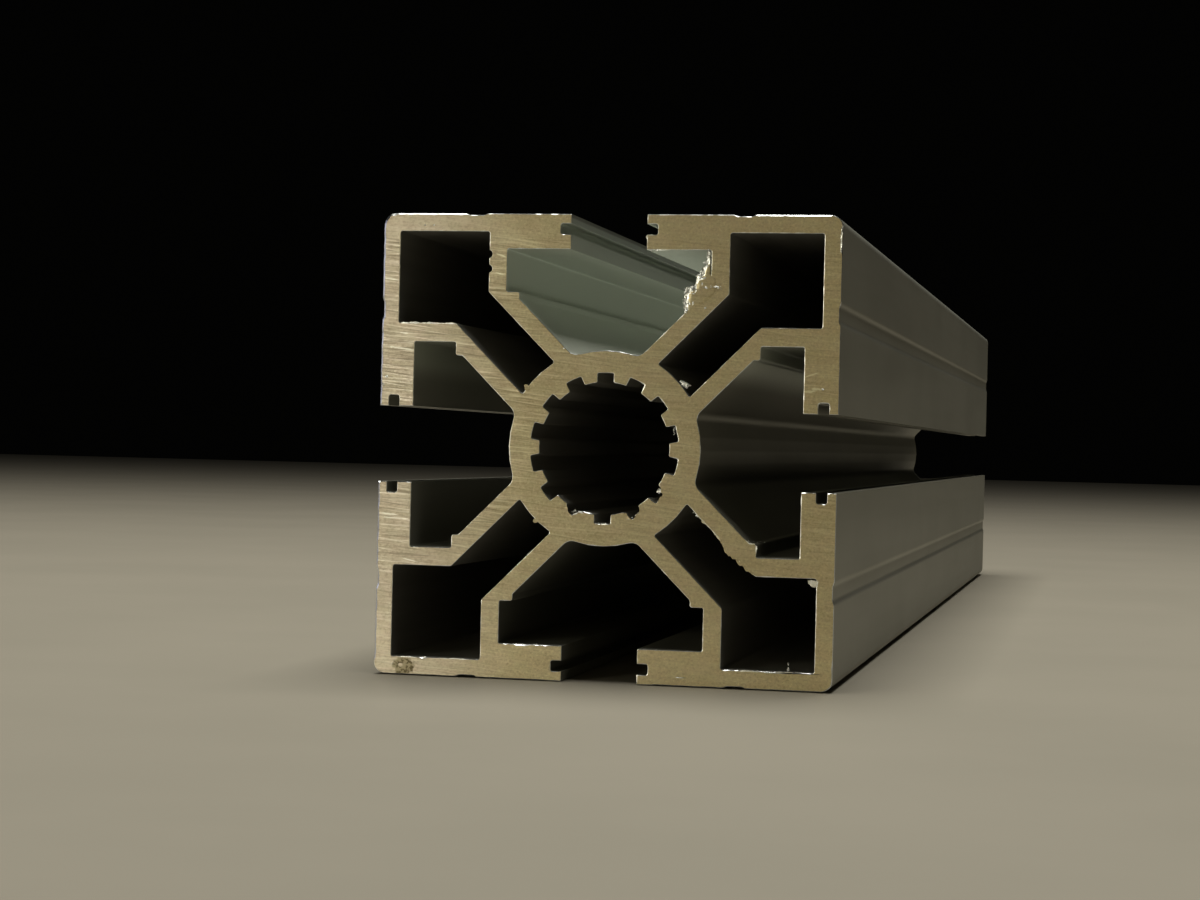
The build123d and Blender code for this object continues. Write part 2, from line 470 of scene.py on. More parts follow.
# Shares of the bands in the skin's relief, and of the mottle and the streaks in the sawn metal's
BAND_RELIEF = 2.0
SAWN_RELIEF = 0.5

# The stock rests on its burrs, this far above the floor, mm
FLOOR_GAP = 0.12
# Half the floor's side, m
FLOOR_HALF_SIZE = 2.5
FLOOR_ROUGHNESS = 0.6

# How wide a lamp's beam is, degrees: the low lamps' beams leave no pools on the floor
LOW_SPREAD = 100
FULL_SPREAD = 180
# Lamps: name, place, target and size in metres, power in watts, colour and beam
LAMPS = (
    ("side", (-0.41, -0.93, 0.15), FRONT_END, (0.20, 0.28), 0.270, (1.0, 0.93, 0.70), LOW_SPREAD),
    ("front", (0.0, -1.20, 0.12), FRONT_END, (0.30, 0.20), 0.0385, (1.0, 0.80, 0.32), LOW_SPREAD),
    ("rim", (-0.90, -0.01, 0.20), FRONT_END, (0.30, 0.30), 0.088, (0.88, 0.86, 1.0), LOW_SPREAD),
    ("overhead", (-0.02, -0.02, 1.07), (-0.02, -0.02, 0.0), (0.5, 0.8), 13.0, (1.0, 0.98, 0.88),
     FULL_SPREAD),
)
WORLD_COLOUR = (0.0008, 0.0008, 0.0007)

# Camera, fitted to the photograph's frame of 1200 by 900 pixels: its place and nearest
# distance are in metres, and its lens and sensor in mm
CAMERA_PLACE = (0.06587, -0.48031, 0.03051)
CAMERA_YAW = math.radians(11.887)
CAMERA_PITCH = math.radians(-0.127)
CAMERA_ROLL = math.radians(1.385)
NEAREST_DISTANCE = 0.01
FOCAL_LENGTH = 75.49
SENSOR_WIDTH = 36.0


class Shape:
    """Vertices in millimetres and faces with their finish, gathered into one mesh."""

    def __init__(self):
        self.vertices = []
        self.faces = []
        self.finishes = []

    def add_vertices(self, points):
        first = len(self.vertices)
        self.vertices += points
        return list(range(first, len(self.vertices)))

    def add_face(self, corners, finish):
        self.faces.append(corners)
        self.finishes.append(finish)


def grain(x, z, size, seed):
    """Smooth random value of about -0.7 to 0.7 that changes over the given size."""
    return noise.noise(Vector((x / size, z / size, seed)))


def section_loops(node, low, high):
    """The outlines of the node's front end: the material is on the left of each loop."""
    mesh = node.data
    middle_x = (low.x + high.x) / 2
    middle_z = (low.z + high.z) / 2
    after = {}
    for polygon in mesh.polygons:
        corners = [mesh.vertices[index].co for index in polygon.vertices]
        if max(corner.y for corner in corners) > low.y + END_TOLERANCE:
            continue
        centred = [(corner.x - middle_x, corner.z - middle_z) for corner in corners]
        spots = [(round(x, PLACE_DECIMALS), round(z, PLACE_DECIMALS)) for x, z in centred]
        for start, end in zip(spots, spots[1:] + spots[:1]):
            if after.get(end) and start in after[end]:
                after[end].remove(start)
            else:
                after.setdefault(start, []).append(end)
    after = {start: ends[0] for start, ends in after.items() if ends}
    loops = []
    while after:
        spot = min(after)
        loop = []
        while spot in after:
            loop.append((spot[0] / MM, spot[1] / MM))
            spot = after.pop(spot)
        loops.append(loop)
    return loops


def distance_to_chord(point, start, end):
    """How far a point lies from the straight line between two others."""
    along = Vector(end) - Vector(start)
    offset = Vector(point) - Vector(start)
    return abs(along.cross(offset)) / max(along.length, SECTION_TOLERANCE)


def simplified(loop, tolerance):
    """The loop with the points left out that a straight edge passes within the tolerance."""
    kept = [0]
    end = 1
    while end < len(loop):
        between = loop[kept[-1] + 1:end]
        start = loop[kept[-1]]
        if any(distance_to_chord(point, start, loop[end]) > tolerance for point in between):
            kept.append(end - 1)
        end += 1
    return [loop[index] for index in kept + [len(loop) - 1]]


def divided(points, longest, closed=True):
    """The points with every edge split into equal parts no longer than the given length."""
    result = []
    ends = points[1:] + points[:1] if closed else points[1:]
    for start, end in zip(points, ends):
        count = max(1, math.ceil(math.dist(start, end) / longest))
        for part in range(count):
            share = part / count
            result.append(tuple(a + (b - a) * share for a, b in zip(start, end)))
    return result if closed else result + [points[-1]]


def air_directions(loop):
    """At each point of a loop, the unit direction that leads out of the material."""
    directions = []
    for index, point in enumerate(loop):
        before = Vector(point) - Vector(loop[index - 1])
        after = Vector(loop[(index + 1) % len(loop)]) - Vector(point)
        along = (before.normalized() + after.normalized()).normalized()
        directions.append((along.y, -along.x))
    return directions


def spot_height(x, z):
    """Extra height of the burr where the photograph shows a heavy one."""
    height = 0.0
    for middle, reach, tallest in BURR_SPOTS:
        away = math.dist((x, z), middle) / reach
        if away < 1:
            height = max(height, tallest * (1 - away * away))
    return height


def wear_at(x, z):
    """How much wider an edge is worn at a section point, or 0 away from every worn stretch."""
    for low_x, high_x, low_z, high_z, factor in EDGE_WEAR:
        if low_x < x < high_x and low_z < z < high_z:
            return factor
    return 0.0


def end_plane(length, end):
    """The place of a sawn end along the stock, measured from its middle."""
    return -INWARDS[end] * length / 2


def uneven(coarse, fine, shares):
    """A factor of about 1 that follows both grains."""
    return 1 + shares[0] * coarse + shares[1] * fine


def rim_levels(x, z, facing, half, end):
    """From the clean skin to the sawn face: each rim ring's depth and shift into the air."""
    coarse = grain(x, z, COARSE_BURR_SIZE, end + COARSE_BURR_SEED)
    fine = grain(x, z, FINE_BURR_SIZE, end + FINE_BURR_SEED)
    wear = wear_at(x, z)
    if wear:
        bulge = STRAIGHT_EDGE
    elif facing > FACING_UP:
        bulge = UPPER_EDGE + UPPER_EDGE_UNEVEN * fine
    else:
        bulge = ROUND_EDGE
    if max(abs(x), abs(z)) > half - OUTSIDE_TOLERANCE:
        width = OUTER_CHAMFER * uneven(coarse, fine, OUTER_UNEVEN) * (wear or 1.0)
        return (
            (RIM_ROOT_DEPTH, 0.0),
            (RIM_NECK_DEPTH, 0.0),
            (RIM_FACE_DEPTH + width, 0.0),
            (RIM_FACE_DEPTH + width * bulge, -width * bulge),
            (RIM_FACE_DEPTH, -width),
            (RIM_FACE_DEPTH, -width - RIM_COLLAR),
        )
    fine_burr = BURR_HEIGHT * max(0.0, coarse + BURR_FINE_SHARE * fine)
    spot = spot_height(x, z) if end == FRONT else 0.0
    height = fine_burr + spot * (HEAVY_BURR_SHARE + fine)
    width = INNER_ROUNDING * uneven(coarse, fine, INNER_UNEVEN) * (wear or 1.0)
    crest = RIM_FACE_DEPTH * (1 - min(1.0, height / FULL_BURR)) + width * bulge
    return (
        (RIM_ROOT_DEPTH, 0.0),
        (RIM_NECK_DEPTH, height * NECK_SHARE),
        (RIM_FACE_DEPTH + width, height),
        (crest, height - width * bulge),
        (RIM_FACE_DEPTH, -width),
        (RIM_FACE_DEPTH, -width - RIM_COLLAR),
    )


def body_rings(loop, half, length):
    """Rings of vertices along the length for one outline, rim rings at both ends included."""
    directions = air_directions(loop)
    ends = []
    for end in (FRONT, BACK):
        pairs = zip(loop, directions)
        ends.append([rim_levels(x, z, out_z, half, end) for (x, z), (out_x, out_z) in pairs])

    def ring_at(end, level):
        ring = []
        for (x, z), (out_x, out_z), levels in zip(loop, directions, ends[end]):
            depth, shift = levels[level]
            y = end_plane(length, end) + INWARDS[end] * depth
            ring.append((x + out_x * shift, y, z + out_z * shift))
        return ring

    level_count = len(ends[FRONT][0])
    rings = [ring_at(FRONT, level) for level in reversed(range(level_count))]
    clear = length - 2 * RIM_ROOT_DEPTH
    for part in range(1, BODY_PARTS):
        y = -clear / 2 + clear * part / BODY_PARTS
        rings.append([(x, y, z) for x, z in loop])
    rings += [ring_at(BACK, level) for level in range(level_count)]
    return rings


def add_walls(shape, rings, finish):
    """Join the rings of one outline, and return its first and last ring's vertices."""
    indices = [shape.add_vertices(ring) for ring in rings]
    last = len(rings) - 1
    for step in range(last):
        near, far = indices[step], indices[step + 1]
        from_end = min(step, last - 1 - step)
        strip_finish = RIM_FINISHES[from_end] if from_end < len(RIM_FINISHES) else finish
        for a, b in zip(range(len(near)), list(range(1, len(near))) + [0]):
            corners = (near[a], far[a], far[b], near[b])
            shape.add_face(corners, strip_finish)
    return indices[0], indices[-1]


def scattered_points(half, end):
    """A jittered grid of section points over the whole square of an end."""
    chance = random.Random(end + FACE_POINT_SEED)
    spacing = FACE_POINT_SPACING
    count = int(2 * half / spacing)
    points = []
    for row in range(count):
        for column in range(count):
            across = column + 0.5 + chance.uniform(-FACE_POINT_STRAY, FACE_POINT_STRAY)
            upwards = row + 0.5 + chance.uniform(-FACE_POINT_STRAY, FACE_POINT_STRAY)
            points.append((-half + across * spacing, -half + upwards * spacing))
    return points


def clear_of(points, borders, margin):
    """The points that keep the margin from every border point."""
    tree = kdtree.KDTree(len(borders))
    for index, (x, z) in enumerate(borders):
        tree.insert((x, z, 0), index)
    tree.balance()
    return [(x, z) for x, z in points if tree.find((x, z, 0))[2] > margin]


def inside_triangles(loops, points):
    """Triangles between closed loops, holes left open: all points, corners, and sources."""
    places = [Vector(point) for loop in loops for point in loop] + [Vector(p) for p in points]
    outlines = []
    first = 0
    for loop in loops:
        outlines.append(list(range(first, first + len(loop))))
        first += len(loop)
    places, _, triangles, sources, _, _ = geometry.delaunay_2d_cdt(
        places, [], outlines, INSIDE_WITH_HOLES, MERGE_DISTANCE
    )
    return places, triangles, sources


def add_end_face(shape, borders, half, length, end):
    """Close one sawn end between the face rings of all the outlines."""
    loops = []
    known = []
    for border in borders:
        loops.append([(shape.vertices[i][0], shape.vertices[i][2]) for i in border])
        known += border
    rim = [point for loop in loops for point in loop]
    inner = clear_of(scattered_points(half, end), rim, FACE_POINT_MARGIN)
    places, triangles, sources = inside_triangles(loops, inner)
    indices = {}
    for triangle in triangles:
        for corner in triangle:
            if corner in indices:
                continue
            own = [source for source in sources[corner] if source < len(known)]
            if own:
                indices[corner] = known[own[0]]
                continue
            x, z = places[corner]
            relief = FACE_RELIEF * grain(x, z, FACE_RELIEF_SIZE, end + FACE_RELIEF_SEED)
            y = end_plane(length, end) + INWARDS[end] * (RIM_FACE_DEPTH + relief)
            indices[corner] = shape.add_vertices([(x, y, z)])[0]
        corners = [indices[corner] for corner in triangle]
        a, b, c = (shape.vertices[i] for i in corners)
        turn = (b[0] - a[0]) * (c[2] - a[2]) - (b[2] - a[2]) * (c[0] - a[0])
        if (turn > 0) != (INWARDS[end] > 0):
            corners.reverse()
        shape.add_face(tuple(corners), SAWN)


def add_leaf(shape, edge, inner, depth_at, end_y, finish_at):
    """A closed leaf of even thickness: its front follows the depth behind the end plane."""
    places, triangles, sources = inside_triangles([edge], inner)
    fronts, backs = [], []
    for (x, z), own in zip(places, sources):
        depth = depth_at(x, z, any(source < len(edge) for source in own))
        fronts.append((x, end_y + depth, z))
        backs.append((x, end_y + depth + FLAP_THICKNESS, z))
    front, back = shape.add_vertices(fronts), shape.add_vertices(backs)
    border = set()
    for a, b, c in triangles:
        p, q, r = places[a], places[b], places[c]
        if (q - p).cross(r - p) < 0:
            b, c = c, b
        middle = (places[a] + places[b] + places[c]) / 3
        finish = finish_at(middle.x, middle.y)
        shape.add_face((front[a], front[b], front[c]), finish)
        shape.add_face((back[c], back[b], back[a]), finish)
        for start, end in ((a, b), (b, c), (c, a)):
            if (end, start) in border:
                border.remove((end, start))
            else:
                border.add((start, end))
    for start, end in sorted(border):
        shape.add_face((front[start], back[start], back[end], front[end]), TORN)


def strayed(point, stray, size, seeds):
    """A point of an outline, moved a little by smooth noise."""
    x, z = point
    return x + stray * grain(x, z, size, seeds[0]), z + stray * grain(x, z, size, seeds[1])


def always(value):
    """A function that gives the same value for every place."""
    return lambda *place: value


def flap_points(edge):
    """Points inside the flap's outline, each in a random place of its grid cell."""
    low_x, low_z = (min(values) for values in zip(*edge))
    high_x, high_z = (max(values) for values in zip(*edge))
    chance = random.Random(FLAP_POINT_SEED)
    points = []
    for row in range(math.ceil((high_z - low_z) / FLAP_POINT_SPACING)):
        for column in range(math.ceil((high_x - low_x) / FLAP_POINT_SPACING)):
            x = low_x + (column + chance.uniform(*FLAP_CELL)) * FLAP_POINT_SPACING
            z = low_z + (row + chance.uniform(*FLAP_CELL)) * FLAP_POINT_SPACING
            points.append((x, z))
    return clear_of(points, edge, FLAP_POINT_SPACING / 2)


def add_flap(shape, end_y):
    """The thin leaf of smeared metal that hangs over the top slot's right side."""
    torn = divided(list(FLAP_TORN_EDGE), FLAP_EDGE_STEP, closed=False)
    edge = []
    for point in divided(list(FLAP_OUTLINE), FLAP_EDGE_STEP):
        stray = FLAP_TORN_STRAY if point in torn else FLAP_EDGE_STRAY
        edge.append(strayed(point, stray, FLAP_STRAY_SIZE, FLAP_EDGE_SEEDS))

    def away_from_tear(x, z):
        return min(math.dist((x, z), point) for point in torn)

    def finish_at(x, z):
        return TORN if away_from_tear(x, z) < FLAP_CRUMPLE_REACH * FLAP_TORN_SHARE else SAWN

    def depth_at(x, z, on_edge):
        away = away_from_tear(x, z)
        if on_edge and away > 2 * FLAP_EDGE_STEP:
            return RIM_FACE_DEPTH + FLAP_RISE
        share = max(0.0, 1 - away / FLAP_CRUMPLE_REACH)
        crumple = FLAP_CRUMPLE_EVEN + grain(x, z, FLAP_CRUMPLE_SIZE, FLAP_CRUMPLE_SEED)
        return RIM_FACE_DEPTH - FLAP_RISE + FLAP_CRUMPLE * share * max(0.0, crumple)

    add_leaf(shape, edge, flap_points(edge), depth_at, end_y, finish_at)
    gap = divided(list(GAP_OUTLINE), FLAP_EDGE_STEP)
    add_leaf(shape, gap, [], always(GAP_DEPTH), end_y, always(MILL))


def add_smears(shape, end_y):
    """Thin leaves that cover parts of the openings, their edges uneven."""

    def depth_at(x, z, on_edge):
        return RIM_FACE_DEPTH - FLAP_RISE * (1 + grain(x, z, SMEAR_FACE_SIZE, SMEAR_FACE_SEED))

    for outline in SMEARS + TABS:
        finish = TORN if outline in TABS else SAWN
        points = divided(list(outline), FLAP_EDGE_STEP)
        edge = [strayed(p, SMEAR_STRAY, SMEAR_STRAY_SIZE, SMEAR_EDGE_SEEDS) for p in points]
        add_leaf(shape, edge, [], depth_at, end_y, always(finish))


def ball(subdivisions):
    """Vertices and faces of a ball of radius 1."""
    shell = bmesh.new()
    bmesh.ops.create_icosphere(shell, subdivisions=subdivisions, radius=1)
    points = [tuple(vertex.co) for vertex in shell.verts]
    faces = [tuple(vertex.index for vertex in face.verts) for face in shell.faces]
    shell.free()
    return points, faces


def add_lump(shape, template, centre, radii, turn, roughness, seed, end_y):
    """One uneven lump of torn metal, kept behind the end plane."""
    points, faces = template
    lump = []
    for point in points:
        swell = 1 + roughness * noise.noise(Vector(point) * LUMP_WAVES + Vector((seed, 0, 0)))
        place = Vector(a * b * swell for a, b in zip(point, radii))
        place.rotate(turn)
        place += Vector(centre)
        lump.append((place.x, max(end_y, place.y), place.z))
    indices = shape.add_vertices(lump)
    for face in faces:
        shape.add_face(tuple(indices[i] for i in face), TORN)


def facing_front(lean, tilt):
    """A turn that leans a lump in the section and then tilts its front to the left."""
    leaning = Matrix.Rotation(math.radians(-lean), 3, "Y")
    return Matrix.Rotation(math.radians(-tilt), 3, "Z") @ leaning


def add_lumps(shape, end_y):
    """The larger lumps, flattened so that they face the front."""
    template = ball(LUMP_SUBDIVISIONS)
    for index, ((x, z), long_radius, short_radius, lean) in enumerate(LUMPS):
        depth = short_radius * LUMP_DEPTH
        centre = (x, end_y + depth * LUMP_SINK, z)
        radii = (long_radius, depth, short_radius)
        turn = facing_front(lean, LUMP_TILT)
        seed = LUMP_SEED_STEP * index
        add_lump(shape, template, centre, radii, turn, LUMP_ROUGHNESS, seed, end_y)


def add_crumbs(shape, end_y):
    """Small specks of metal along the heavy burrs of the front end."""
    template = ball(CRUMB_SUBDIVISIONS)
    chance = random.Random(CRUMB_SEED)
    for path, stray, size, count in CRUMB_PATHS:
        route = divided(list(path), CRUMB_PATH_STEP, closed=False)
        for _ in range(count):
            x, z = chance.choice(route)
            radius = size * chance.uniform(*CRUMB_SIZES) / 2
            depth = radius * CRUMB_FLATNESS
            y = end_y + depth * chance.uniform(*CRUMB_SINKS)
            centre = (x + chance.gauss(0, stray), y, z + chance.gauss(0, stray))
            long_radius = radius * chance.uniform(*CRUMB_LONG_RADII)
            short_radius = radius * chance.uniform(*CRUMB_SHORT_RADII)
            radii = (long_radius, depth, short_radius)
            turn = facing_front(chance.uniform(*CRUMB_LEANS), chance.uniform(*CRUMB_TILTS))
            seed = chance.uniform(*CRUMB_SURFACES)
            add_lump(shape, template, centre, radii, turn, CRUMB_ROUGHNESS, seed, end_y)


def profile_object(low, high):
    """The whole length of stock as one mesh with its four finishes."""
    half = (high.x - low.x) / 2 / MM
    length = (high.y - low.y) / MM
    shape = Shape()
    fronts, backs = [], []
    for outline in section_loops(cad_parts[NODE], low, high):
        loop = divided(simplified(outline, SECTION_TOLERANCE), LONGEST_EDGE)
        outer = min(x for x, z in loop) < -half + OUTSIDE_TOLERANCE
        front, back = add_walls(shape, body_rings(loop, half, length), SKIN if outer else MILL)
        fronts.append(front)
        backs.append(back)
    add_end_face(shape, fronts, half, length, FRONT)
    add_end_face(shape, backs, half, length, BACK)
    for add_damage in (add_flap, add_smears, add_lumps, add_crumbs):
        add_damage(shape, end_plane(length, FRONT))
    middle = (low + high) / 2
    places = [(middle.x + x * MM, middle.y + y * MM, middle.z + z * MM) for x, y, z in shape.vertices]
    mesh = bpy.data.meshes.new("profile")
    mesh.from_pydata(places, [], shape.faces)
    mesh.polygons.foreach_set("material_index", shape.finishes)
    mesh.shade_smooth()
    mesh.set_sharp_from_angle(angle=SMOOTH_ANGLE)
    mesh.validate()
    piece = bpy.data.objects.new("profile", mesh)
    bpy.context.scene.collection.objects.link(piece)
    return piece


def add_node(tree, kind, inputs=None, **settings):
    """A new node with its settings made, and its inputs set or linked."""
    node = tree.nodes.new(kind)
    for name, value in settings.items():
        setattr(node, name, value)
    for name, value in (inputs or {}).items():
        socket = node.inputs[name]
        if isinstance(value, bpy.types.NodeSocket):
            tree.links.new(value, socket)
        else:
            socket.default_value = value
    return node


def maths(tree, operation, a, b=0.0, c=0.0):
    """The result of an operation on up to three numbers."""
    return add_node(tree, "ShaderNodeMath", {0: a, 1: b, 2: c}, operation=operation).outputs[0]


def product(tree, a, b):
    """One number times another."""
    return maths(tree, "MULTIPLY", a, b)


def vector_maths(tree, operation, *vectors, result="Vector"):
    """The result of an operation on up to three vectors."""
    inputs = dict(enumerate(vectors))
    return add_node(tree, "ShaderNodeVectorMath", inputs, operation=operation).outputs[result]


def millimetres(tree):
    """The point's place in the shared frame, in millimetres."""
    place = add_node(tree, "ShaderNodeTexCoord").outputs["Object"]
    inputs = {0: place, "Scale": 1 / MM}
    return add_node(tree, "ShaderNodeVectorMath", inputs, operation="SCALE").outputs[0]


def levelled(tree, place, slant):
    """The place turned about Y, so that what falls to the right by the slant runs level."""
    inputs = {"Vector": place, "Angle": math.radians(-slant)}
    return add_node(tree, "ShaderNodeVectorRotate", inputs, rotation_type="Y_AXIS").outputs[0]


def stretched_noise(tree, place, sizes, detail=3.0, roughness=0.55, slant=0.0, shift=0.0):
    """Noise whose features have the given sizes in mm along X, Y and Z."""
    scale = tuple(1 / size for size in sizes)
    level = levelled(tree, place, slant)
    scaled = vector_maths(tree, "MULTIPLY_ADD", level, scale, (shift, shift, shift))
    inputs = {"Vector": scaled, "Scale": 1.0, "Detail": detail, "Roughness": roughness}
    return add_node(tree, "ShaderNodeTexNoise", inputs).outputs["Fac"]


def ramp(tree, value, low, high, to_low=0.0, to_high=1.0):
    """The value's range from low to high eased onto another range, and clamped."""
    return add_node(
        tree,
        "ShaderNodeMapRange",
        {0: value, 1: low, 2: high, 3: to_low, 4: to_high},
        interpolation_type="SMOOTHSTEP",
    ).outputs[0]


def opaque(colour):
    """A colour with its opacity, or a linked colour as it is."""
    return colour if isinstance(colour, bpy.types.NodeSocket) else (*colour, 1.0)


def mixed(tree, share, under, over, mode="MIX"):
    """One colour laid over another with the given share."""
    inputs = {MIX_SHARE: share, MIX_UNDER: opaque(under), MIX_OVER: opaque(over)}
    node = add_node(tree, "ShaderNodeMix", inputs, data_type="RGBA", blend_type=mode)
    return node.outputs[MIX_RESULT]


def bumped(tree, height, strength, distance):
    """The surface's direction with a relief, whose distance is in metres."""
    inputs = {"Height": height, "Strength": strength, "Distance": distance}
    return add_node(tree, "ShaderNodeBump", inputs).outputs[0]


def plug(tree, shader, sources):
    """Link the shader's named inputs to their sources."""
    for name, source in sources.items():
        tree.links.new(source, shader.inputs[name])


def metal(name):
    """A new metallic material: its node tree and its main shader."""
    material = bpy.data.materials.new(name)
    material.use_nodes = True
    tree = material.node_tree
    shader = tree.nodes["Principled BSDF"]
    shader.inputs["Metallic"].default_value = 1.0
    return material, tree, shader


def anodised_skin():
    """Satin natural anodising with the faint die lines of the extrusion along it, and painted shade
    and light in its slots.
    """
    material, tree, shader = metal("anodised_skin")
    place = millimetres(tree)
    lines = stretched_noise(tree, place, (0.35, 90.0, 0.35), detail=4.0)
    bands = stretched_noise(tree, place, (4.0, 160.0, 4.0), detail=2.0, shift=7.0)
    clouds = stretched_noise(tree, place, (18.0, 40.0, 18.0), detail=3.0, shift=3.0)
    scuffs = stretched_noise(tree, place, (1.2, 6.0, 1.2), detail=5.0, roughness=0.7, shift=11.0)
    clouded = ramp(tree, clouds, *CLOUD_SPAN, 0.0, CLOUD_SHARE)
    scuffed = ramp(tree, scuffs, *SCUFF_SPAN, 0.0, SCUFF_SHARE)
    tone = mixed(tree, ramp(tree, bands, *WIDE_SPAN), SKIN_DARK, SKIN_LIGHT)
    tone = mixed(tree, clouded, tone, SKIN_CLOUD)
    tone = mixed(tree, scuffed, tone, SKIN_SCUFF)
    parts = add_node(tree, "ShaderNodeSeparateXYZ", {0: place}).outputs
    sideways = maths(tree, "ABSOLUTE", parts["X"])
    upright = maths(tree, "ABSOLUTE", maths(tree, "SUBTRACT", parts["Z"], MIDDLE_Z))
    outside = ramp(tree, maths(tree, "MAXIMUM", sideways, upright), *SKIN_OUTSIDE)
    inside = maths(tree, "SUBTRACT", 1.0, outside)
    # Painted shade darkens the slots' skin to the right, and painted light makes it paler high in the
    # top slot
    painted_slot_shade = product(tree, ramp(tree, parts["X"], *SKIN_PAINTED_SHADE_ACROSS), inside)
    pale = product(tree, ramp(tree, parts["Z"], *SKIN_PAINTED_LIGHT_UP), inside)
    tone = mixed(tree, painted_slot_shade, tone, SKIN_PAINTED_SHADE_FACTOR, "MULTIPLY")
    tone = mixed(tree, pale, tone, SKIN_PAINTED_LIGHT)
    gloss = ramp(tree, clouds, *WIDE_SPAN, *SKIN_ROUGHNESS)
    gloss = maths(tree, "ADD", gloss, product(tree, scuffed, SCUFF_ROUGHNESS))
    relief = maths(tree, "ADD", lines, product(tree, bands, BAND_RELIEF))
    normal = bumped(tree, relief, strength=0.6, distance=3.0e-6)
    shader.inputs["Metallic"].default_value = SKIN_METALLIC
    plug(tree, shader, {"Base Color": tone, "Roughness": gloss, "Normal": normal})
    return material


def mill_metal():
    """The unanodised wall of a closed hollow, smooth and drawn along its length."""
    material, tree, shader = metal("mill_metal")
    place = millimetres(tree)
    lines = stretched_noise(tree, place, (0.30, 120.0, 0.30), detail=4.0)
    bands = stretched_noise(tree, place, (2.5, 150.0, 2.5), detail=2.0, shift=4.0)
    tone = mixed(tree, ramp(tree, bands, *WIDE_SPAN), MILL_DARK, MILL_LIGHT)
    normal = bumped(tree, maths(tree, "ADD", lines, bands), strength=1.0, distance=6.0e-6)
    shader.inputs["Roughness"].default_value = MILL_ROUGHNESS
    plug(tree, shader, {"Base Color": tone, "Normal": normal})
    return material


def line_highlight_strength(tree, parts):
    """How plain the saw's lines are at a point, up to 1: plainest at the upper left, a painted
    highlight of the side light.
    """
    across = ramp(tree, parts["X"], *LINE_HIGHLIGHT_ACROSS, 1.0, LINE_SHARE_RIGHT)
    upwards = ramp(tree, parts["Z"], *LINE_FADE_UP, 1.0, LINE_SHARE_TOP)
    downwards = ramp(tree, parts["Z"], *LINE_HIGHLIGHT_DOWN, 1.0, LINE_SHARE_LOW)
    return product(tree, product(tree, across, upwards), downwards)


def saw_lines(tree, place, kinds, strength):
    """Thin long lines, 0 to 1, that fall to the right at each kind's angle."""
    lines = 0.0
    for slant, shift in kinds:
        drawn = stretched_noise(
            tree, place, (11.0, 11.0, 0.26), detail=2.0, roughness=0.5, slant=slant, shift=shift
        )
        lines = maths(tree, "MAXIMUM", lines, ramp(tree, drawn, *SAW_LINE_SPAN))
    return product(tree, lines, strength)


def away_from(tree, place, middle, radii, slant=0.0):
    """Distance from a place on the front end, measured in the half sizes of a mark there."""
    centre = (middle[0], FRONT_Y, middle[1] + MIDDLE_Z)
    offset = vector_maths(tree, "SUBTRACT", place, centre)
    level = levelled(tree, offset, slant)
    away = vector_maths(tree, "DIVIDE", level, (radii[0], MARK_REACH, radii[1]))
    return vector_maths(tree, "LENGTH", away, result="Value")


def soiled(tree, place, tone):
    """The tone with the dirt spot of the front end's lower left corner laid over it."""
    ragged = stretched_noise(tree, place, (0.7, 0.7, 0.7), detail=4.0, roughness=0.7)
    distance = away_from(tree, place, DIRT_MIDDLE, DIRT_RADII)
    reach = maths(tree, "MULTIPLY_ADD", ragged, MARK_RAGGED, distance)
    cover = ramp(tree, reach, *DIRT_END, 1.0, 0.0)
    dirty = ramp(tree, away_from(tree, place, CLEAN_MIDDLE, CLEAN_RADII), *CLEAN_END)
    fleck = stretched_noise(tree, place, (0.45, 0.45, 0.45), detail=3.0, shift=15.0)
    dirt = mixed(tree, ramp(tree, fleck, *FLECK_SPAN), DIRT_DARK, DIRT_LIGHT)
    return mixed(tree, product(tree, cover, dirty), tone, dirt)


def scratches(tree, place):
    """The scratches of the front end, 0 to 1, their edges uneven, their bright tone partly a painted
    glint.
    """
    ragged = stretched_noise(tree, place, (0.5, 0.5, 0.25), detail=3.0, roughness=0.6, shift=19.0)
    scratch_glint = 0.0
    for middle, half_length, half_width, slant in SCRATCHES:
        distance = away_from(tree, place, middle, (half_length, half_width), slant)
        reach = maths(tree, "MULTIPLY_ADD", ragged, MARK_RAGGED, distance)
        scratch_glint = maths(tree, "MAXIMUM", scratch_glint, ramp(tree, reach, *SCRATCH_END))
    return scratch_glint


def leaned(tree, normal, lean):
    """The surface's direction leaned along X."""
    sideways = add_node(tree, "ShaderNodeCombineXYZ", {0: lean}).outputs[0]
    return vector_maths(tree, "NORMALIZE", vector_maths(tree, "ADD", normal, sideways))


